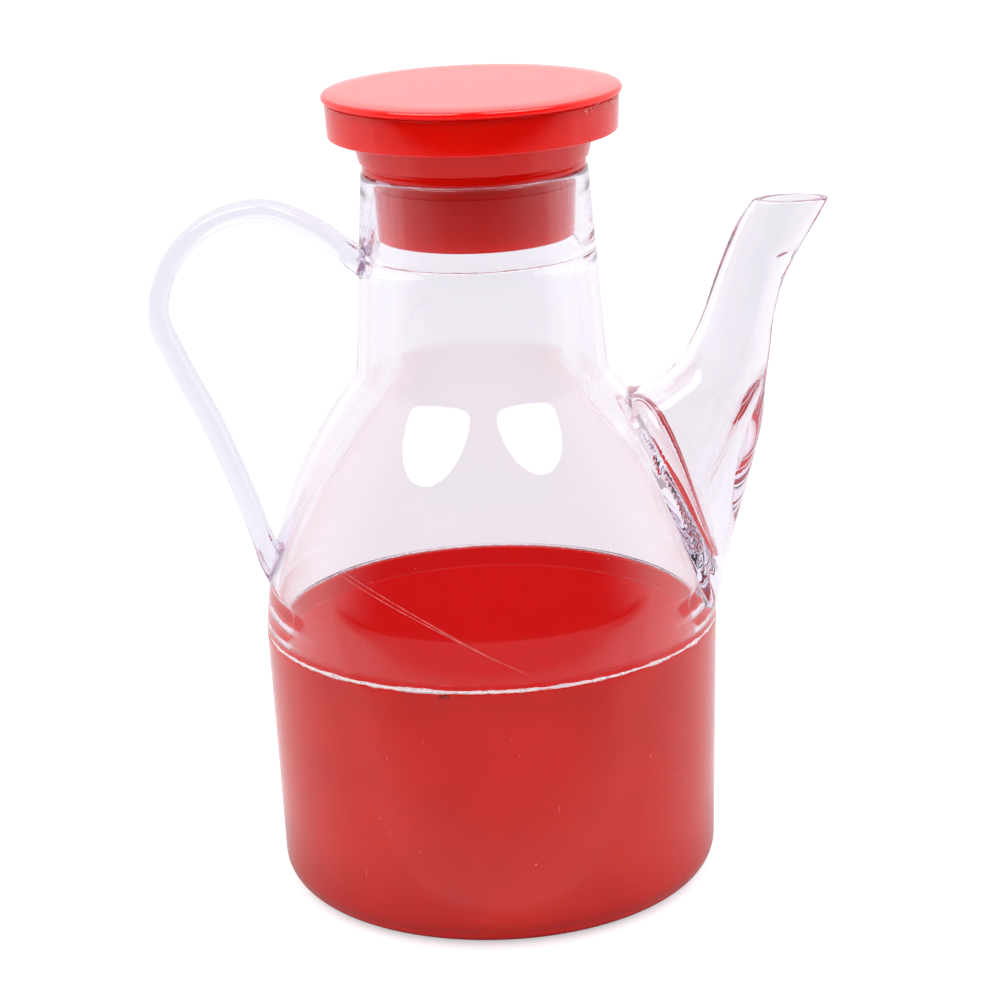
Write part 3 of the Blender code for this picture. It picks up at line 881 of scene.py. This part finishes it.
def flakes(name, places, size, material, seed):
    """Small torn flakes of plastic: flattened, lumpy grains."""
    draw = random.Random(seed)
    bm = bmesh.new()
    for place in places:
        grain = bmesh.ops.create_icosphere(bm, subdivisions=2, radius=1.0)["verts"]
        grow = size * draw.uniform(0.4, 1.2)
        long, tall = draw.uniform(0.8, 1.8), draw.uniform(0.5, 1.0)
        out = Vector((place.x, place.y, 0)).normalized()
        side = Vector((-out.y, out.x, 0))
        for vert in grain:
            lump = 1 + 0.45 * noise.noise(vert.co * 1.7 + place * 900)
            x, y, z = vert.co * grow * lump
            vert.co = place + side * x * long + out * y * 0.5 + Vector((0, 0, z * tall))
    return finish_mesh(name, bm, material)


def scratches(name, material):
    """Long hairline scratches over the bell's front."""
    bm = bmesh.new()
    for x0, z0, x1, z1 in SCRATCH_RUNS:
        rings = []
        for i in range(SCRATCH_STEPS + 1):
            t = i / SCRATCH_STEPS
            x = (x0 + (x1 - x0) * t) * MM
            z = (z0 + (z1 - z0) * t + SCRATCH_BOW * math.sin(math.pi * t)) * MM
            centre = Vector((x, -math.sqrt(bell_radius(z) ** 2 - x * x), z))
            out = Vector((centre.x, centre.y, 0)).normalized()
            along = Vector((x1 - x0, 0, z1 - z0)).normalized()
            size = SCRATCH_WIDTH * (0.25 + 0.75 * math.sin(math.pi * t) ** 0.5)
            size *= 0.8 + 0.4 * noise.noise(centre * 2500)
            ring = []
            for k in range(SCRATCH_SECTION):
                turn = math.tau * k / SCRATCH_SECTION
                ring.append(bm.verts.new(centre + 0.35 * size * math.cos(turn) * out
                                         + size * math.sin(turn) * out.cross(along)))
            rings.append(ring)
        for low, high in zip(rings, rings[1:]):
            for i in range(SCRATCH_SECTION):
                j = (i + 1) % SCRATCH_SECTION
                bm.faces.new((low[i], low[j], high[j], high[i]))
        bm.faces.new(rings[0][::-1])
        bm.faces.new(rings[-1])
    return finish_mesh(name, bm, material)


# ---------------------------------------------------------------- studio

def camera():
    """The photograph's point of view."""
    pitch, yaw, roll = CAMERA_PITCH, CAMERA_YAW, CAMERA_ROLL
    ahead = Vector((math.sin(yaw) * math.cos(pitch), math.cos(yaw) * math.cos(pitch),
                    -math.sin(pitch)))
    right = Vector((math.cos(yaw), -math.sin(yaw), 0.0))
    up = right.cross(ahead)
    level_right = math.cos(roll) * right + math.sin(roll) * up
    level_up = -math.sin(roll) * right + math.cos(roll) * up
    data = bpy.data.cameras.new("camera")
    data.lens = CAMERA_LENS
    data.sensor_width = 36.0
    data.clip_start = 0.01
    obj = bpy.data.objects.new("camera", data)
    turn = Matrix((level_right, level_up, -ahead)).transposed()
    obj.matrix_world = Matrix.Translation(CAMERA_PLACE) @ turn.to_4x4()
    bpy.context.collection.objects.link(obj)
    bpy.context.scene.camera = obj


def softbox(name, azimuth, elevation, distance, size, radiance):
    """Round soft light that faces the object, from a direction about it."""
    a, e = math.radians(azimuth), math.radians(elevation)
    away = Vector((math.sin(a) * math.cos(e), -math.cos(a) * math.cos(e), math.sin(e)))
    data = bpy.data.lights.new(name, "AREA")
    data.shape = "DISK"
    data.size = size
    data.energy = radiance * math.pi * math.pi * (size / 2) ** 2
    obj = bpy.data.objects.new(name, data)
    obj.location = LIGHT_AIM + away * distance
    obj.rotation_euler = away.to_track_quat("Z", "Y").to_euler()
    bpy.context.collection.objects.link(obj)
    return obj


def dark_floor():
    """Painted shade: an unlit sheet over the floor's end below the camera, which only reflections
    and soft light see.
    """
    bm = bmesh.new()
    corners = [(-FLOOR_SIZE, -FLOOR_SIZE), (FLOOR_SIZE, -FLOOR_SIZE), (FLOOR_SIZE, SHEET_EDGE),
               (-FLOOR_SIZE, SHEET_EDGE)]
    bm.faces.new([bm.verts.new((x, y, 0.5 * MM)) for x, y in corners])
    s = Shader("dark_floor")
    split = s.node("ShaderNodeSeparateXYZ", {"Vector": s.place})
    _, turns, deep, inner = light_path(s.tree)
    fade = s.math("MULTIPLY", s.ramp(split.outputs["Y"], *SHEET_NEAR),
                  s.ramp(split.outputs["Y"], *SHEET_FAR))
    backfacing = s.node("ShaderNodeNewGeometry").outputs["Backfacing"]
    s.set(Base_Color=(0, 0, 0, 1), Specular_IOR_Level=0.0, Emission_Color=SHEET_COLOUR,
          Emission_Strength=s.math("MAXIMUM", s.math("MULTIPLY", inner, ROOM_INNER), fade),
          Alpha=s.math("MULTIPLY", s.math("SUBTRACT", turns, s.math("MULTIPLY", deep, 9.0)),
                       s.math("SUBTRACT", 1.0, backfacing), clamp=True))
    sheet = finish_mesh("dark_floor", bm, s.material)
    for seen in ("visible_camera", "visible_shadow", "visible_volume_scatter"):
        setattr(sheet, seen, False)
    return sheet


def room():
    """White studio room that is dark behind the camera, except to what looks straight at it."""
    world = bpy.data.worlds.new("white_room")
    world.use_nodes = True
    tree = world.node_tree
    place = add_node(tree, "ShaderNodeTexCoord").outputs["Generated"]
    split = add_node(tree, "ShaderNodeSeparateXYZ", {"Vector": place})
    fade = add_node(tree, "ShaderNodeMapRange", {
        "Value": split.outputs["Y"], "From Min": ROOM_FADE[0], "From Max": ROOM_FADE[1],
        "To Min": ROOM_DARK, "To Max": ROOM_LIGHT}, interpolation_type="SMOOTHSTEP")
    path, turns, deep, inner = light_path(tree)
    once = add_node(tree, "ShaderNodeMath", {0: turns, 1: 1.5}, operation="LESS_THAN")
    ahead = add_node(tree, "ShaderNodeMath", {
        0: path["Is Camera Ray"], 1: path["Is Transmission Ray"]}, operation="ADD")
    straight = add_node(tree, "ShaderNodeMath", {0: once.outputs[0], 1: ahead.outputs[0]},
                        operation="MULTIPLY", use_clamp=True)
    seen = add_node(tree, "ShaderNodeMix", {
        "Factor": straight.outputs[0], "A": fade.outputs["Result"], "B": ROOM_LIGHT})
    lift = add_node(tree, "ShaderNodeMath", {0: inner, 1: ROOM_INNER}, operation="MULTIPLY")
    least = add_node(tree, "ShaderNodeMath", {0: deep, 1: ROOM_DEEP, 2: lift.outputs[0]},
                     operation="MULTIPLY_ADD")
    strength = add_node(tree, "ShaderNodeMath", {
        0: seen.outputs["Result"], 1: least.outputs[0]}, operation="MAXIMUM")
    whiteness = add_node(tree, "ShaderNodeMapRange", {
        "Value": strength.outputs[0], "From Min": ROOM_DARK, "From Max": 0.9})
    colour = add_node(tree, "ShaderNodeMix", data_type="RGBA")
    give(tree, colour.inputs["Factor"], whiteness.outputs["Result"])
    give(tree, colour.inputs["A"], ROOM_DARK_COLOUR)
    give(tree, colour.inputs["B"], ROOM_COLOUR)
    background = tree.nodes["Background"]
    give(tree, background.inputs["Color"], colour.outputs["Result"])
    give(tree, background.inputs["Strength"], strength.outputs[0])
    bpy.context.scene.world = world


def studio():
    """White floor and room, and how many bounces of light are followed."""
    bm = bmesh.new()
    bmesh.ops.create_grid(bm, x_segments=40, y_segments=40, size=FLOOR_SIZE)
    floor = finish_mesh("floor", bm, floor_paper("floor_paper"))
    dark_floor()
    room()
    scene = bpy.context.scene
    scene.view_settings.view_transform = "Standard"
    scene.view_settings.look = "None"
    scene.cycles.max_bounces = 48
    scene.cycles.transmission_bounces = 24
    scene.cycles.glossy_bounces = 32
    scene.cycles.transparent_max_bounces = 16
    scene.cycles.blur_glossy = 0.5


def light_pieces(pieces):
    """Two round soft lights above the camera and a low fill, which leave the floor even."""
    lit = bpy.data.collections.new("lit_pieces")
    for piece in pieces:
        lit.objects.link(piece)
    for name, azimuth, elevation, size in SOFTBOXES:
        box = softbox(name, azimuth, elevation, SOFTBOX_DISTANCE, size, SOFTBOX_RADIANCE)
        box.light_linking.receiver_collection = lit
        box.visible_transmission = False
    fill = softbox("front_fill", 0.0, FILL_ELEVATION, FILL_DISTANCE, FILL_SIZE, FILL_RADIANCE)
    fill.light_linking.receiver_collection = lit
    for seen in ("visible_camera", "visible_glossy", "visible_transmission"):
        setattr(fill, seen, False)


def build_bottle():
    """Cup, clear shell and handle, with the bonds, scratches and flakes that sit on them."""
    # The cup's inside takes a brighter red: painted light for what is seen through the shell.
    red = red_plastic("red_cup_plastic", CUP_RED, 0.12, inside=CUP_FOOT_RADIUS - 0.95 * MM,
                      painted_light_colour=CUP_RED_PAINTED_LIGHT)
    clear = clear_plastic("clear_shell_plastic", CLEAR_TINT, CLEAR_EDGE_SHADE, CLEAR_DEPTH_TINT,
                          CLEAR_DENSITY, haze=0.08)
    rod = clear_plastic("clear_handle_plastic", HANDLE_TINT, HANDLE_EDGE_SHADE, HANDLE_DEPTH_TINT,
                        HANDLE_DENSITY, edge_shade_start=0.25, wave=1.2)
    bond = bond_plastic("bond_and_highlight_plastic", 0.26)
    bond_line = bond_plastic("bond_line_plastic", 0.02, BOND_LINE_COLOUR)
    scratch = bond_plastic("scratch_plastic", 0.45, SCRATCH_COLOUR)
    channel = finish_mesh("channel", lofted(level_sections(CHANNEL_SECTIONS)), None)
    core = bell_core(CORE_INSET)
    spout = spout_solid(core)
    cup = base_cup(red)
    shell = clear_shell(clear, spout, channel)
    loop = handle(rod, core)
    for piece in (shell, loop):
        piece.visible_shadow = False
    rim_places = on_ring(CUP_RIM_RADIUS - 0.1 * MM, CUP_HEIGHT - 1.1 * MM, CUP_HEIGHT - 0.3 * MM,
                         start=-103, end=-95, count=16, seed=3)
    joint_places = on_ring(SEAM_RADIUS + 0.1 * MM, SEAM_Z - 4.4 * MM, SEAM_Z - 0.6 * MM,
                           start=-183, end=-171, count=12, seed=5)
    pieces = [
        cup, shell, loop,
        # Partly real milky bond, partly a painted highlight: the white bead is full along the front
        # seam, as a bright line, and thin behind.
        bead("cup_bond_and_highlight_bead", CUP_RIM_RADIUS - 0.42 * MM, CUP_HEIGHT + 0.1 * MM, 0.50 * MM, bond,
             seed=1.0, back=0.3),
        bead("neck_bond_line", SEAM_RADIUS - 0.9 * MM, SEAM_Z, 0.13 * MM, bond_line, seed=5.0,
             lumps=0.9),
        scratches("bell_scratches", scratch),
        flakes("cup_rim_flash", rim_places, 0.30 * MM, red, seed=4),
        flakes("handle_joint_flakes", joint_places, 0.35 * MM, bond_line, seed=6),
    ]
    drop(channel, core, spout)
    return pieces


def build_stopper():
    """Plug and cover, with the torn flakes on the edge between them."""
    # The plug within this radius takes the brighter inside red: painted light for what is seen
    # through the collar.
    red = red_plastic("red_stopper_plastic", LID_RED, 0.09, inside=PLUG_TOP_RADIUS + 0.3 * MM)
    glossy = red_plastic("red_cover_plastic", COVER_RED, 0.055)
    torn = red_plastic("torn_plastic", TORN_RED, 0.3, glow=0.5)
    edge = RIM_Z + BAND_Z + BAND_HEIGHT
    places = on_ring(BAND_TOP_RADIUS + 0.2 * MM, edge - 0.9 * MM, edge + 0.9 * MM,
                     start=-44, end=-8, count=44, seed=7)
    return [
        stopper_body(red), stopper_cover(glossy),
        flakes("lid_edge_flakes", places, 0.22 * MM, torn, seed=8),
    ]


def build():
    """Every piece, each on its body, and the lights on them."""
    bottle = build_bottle()
    stopper = build_stopper()
    for piece in bottle:
        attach(piece, "bottle")
    for piece in stopper:
        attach(piece, "stopper")
    light_pieces(bottle + stopper)


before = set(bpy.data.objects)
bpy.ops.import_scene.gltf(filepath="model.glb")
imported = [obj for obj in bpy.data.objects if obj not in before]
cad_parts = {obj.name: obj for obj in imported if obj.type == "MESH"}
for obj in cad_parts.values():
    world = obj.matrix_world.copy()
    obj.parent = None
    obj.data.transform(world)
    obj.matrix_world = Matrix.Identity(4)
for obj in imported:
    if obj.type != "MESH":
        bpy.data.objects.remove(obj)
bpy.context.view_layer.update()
camera()
studio()
build()
